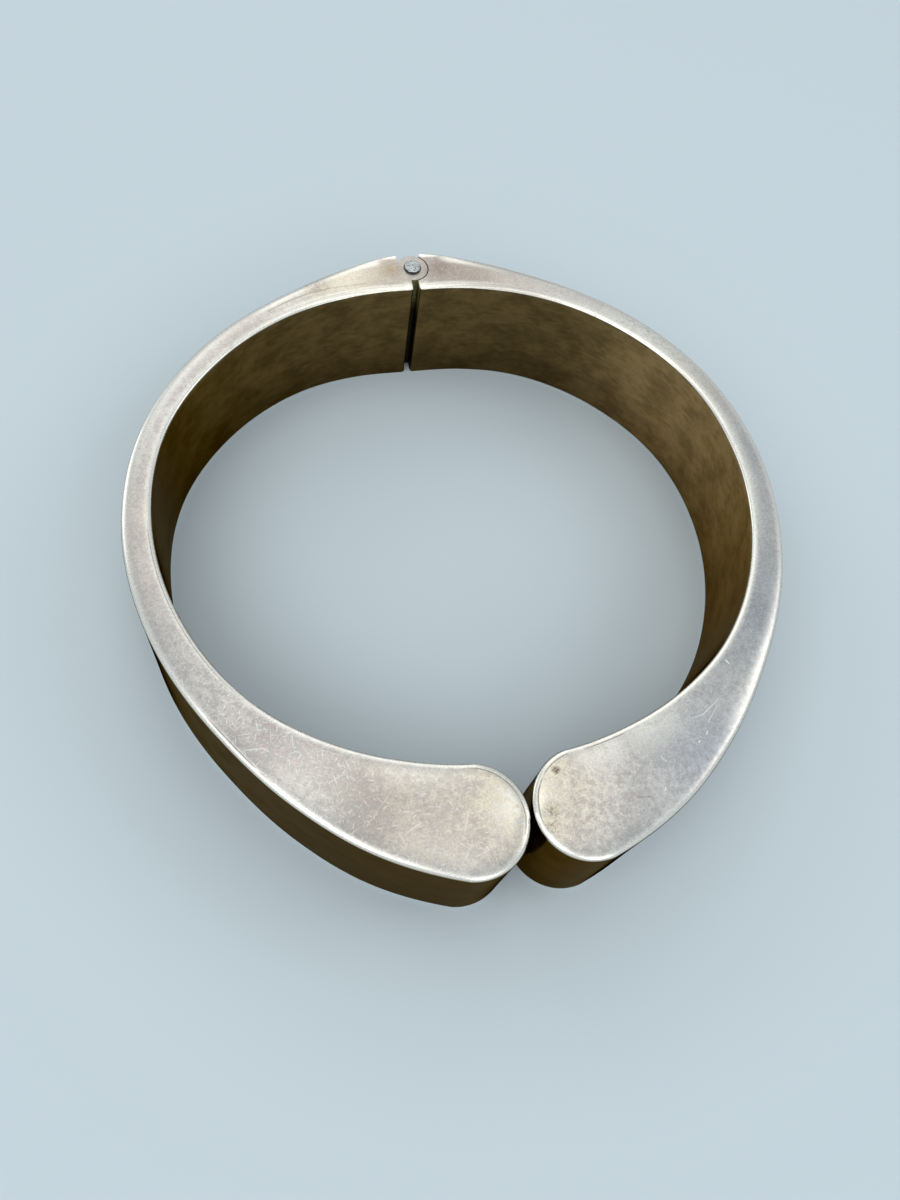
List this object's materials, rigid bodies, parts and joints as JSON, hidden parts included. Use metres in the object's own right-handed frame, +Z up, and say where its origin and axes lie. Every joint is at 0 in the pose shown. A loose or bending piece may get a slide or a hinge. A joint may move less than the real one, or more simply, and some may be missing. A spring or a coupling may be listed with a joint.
{
  "type": "hinged silver cuff bracelet",
  "caption": "Hinged silver cuff of two hollow mirror-image arms that turn on a pin at the back and swell to round ends that nearly meet at the front.",
  "frame": {"origin": "middle of the bracelet's own box, at the level of the side edge that it lies on", "axes": "+Z up along the hinge pin, +Y towards the hinge, -Y towards the round ends, +X to the arm that swings out"},
  "size_m": [0.0658, 0.069, 0.0148],
  "materials": {
    "silver": "old silver, satin on the faces and polished on the walls, with fine scratches",
    "pin_metal": "grey hammered rivet metal"
  },
  "bodies": {
    "left_arm": {"left_half": "silver", "hinge_pin": "pin_metal"},
    "right_arm": {"right_half": "silver"}
  },
  "joints": [
    {"name": "hinge_open", "type": "hinge", "parent": "left_arm", "child": "right_arm", "pos_m": [0, 0.03238, 0], "axis": [0, 0, 1], "range_deg": [0, 60]}
  ]
}
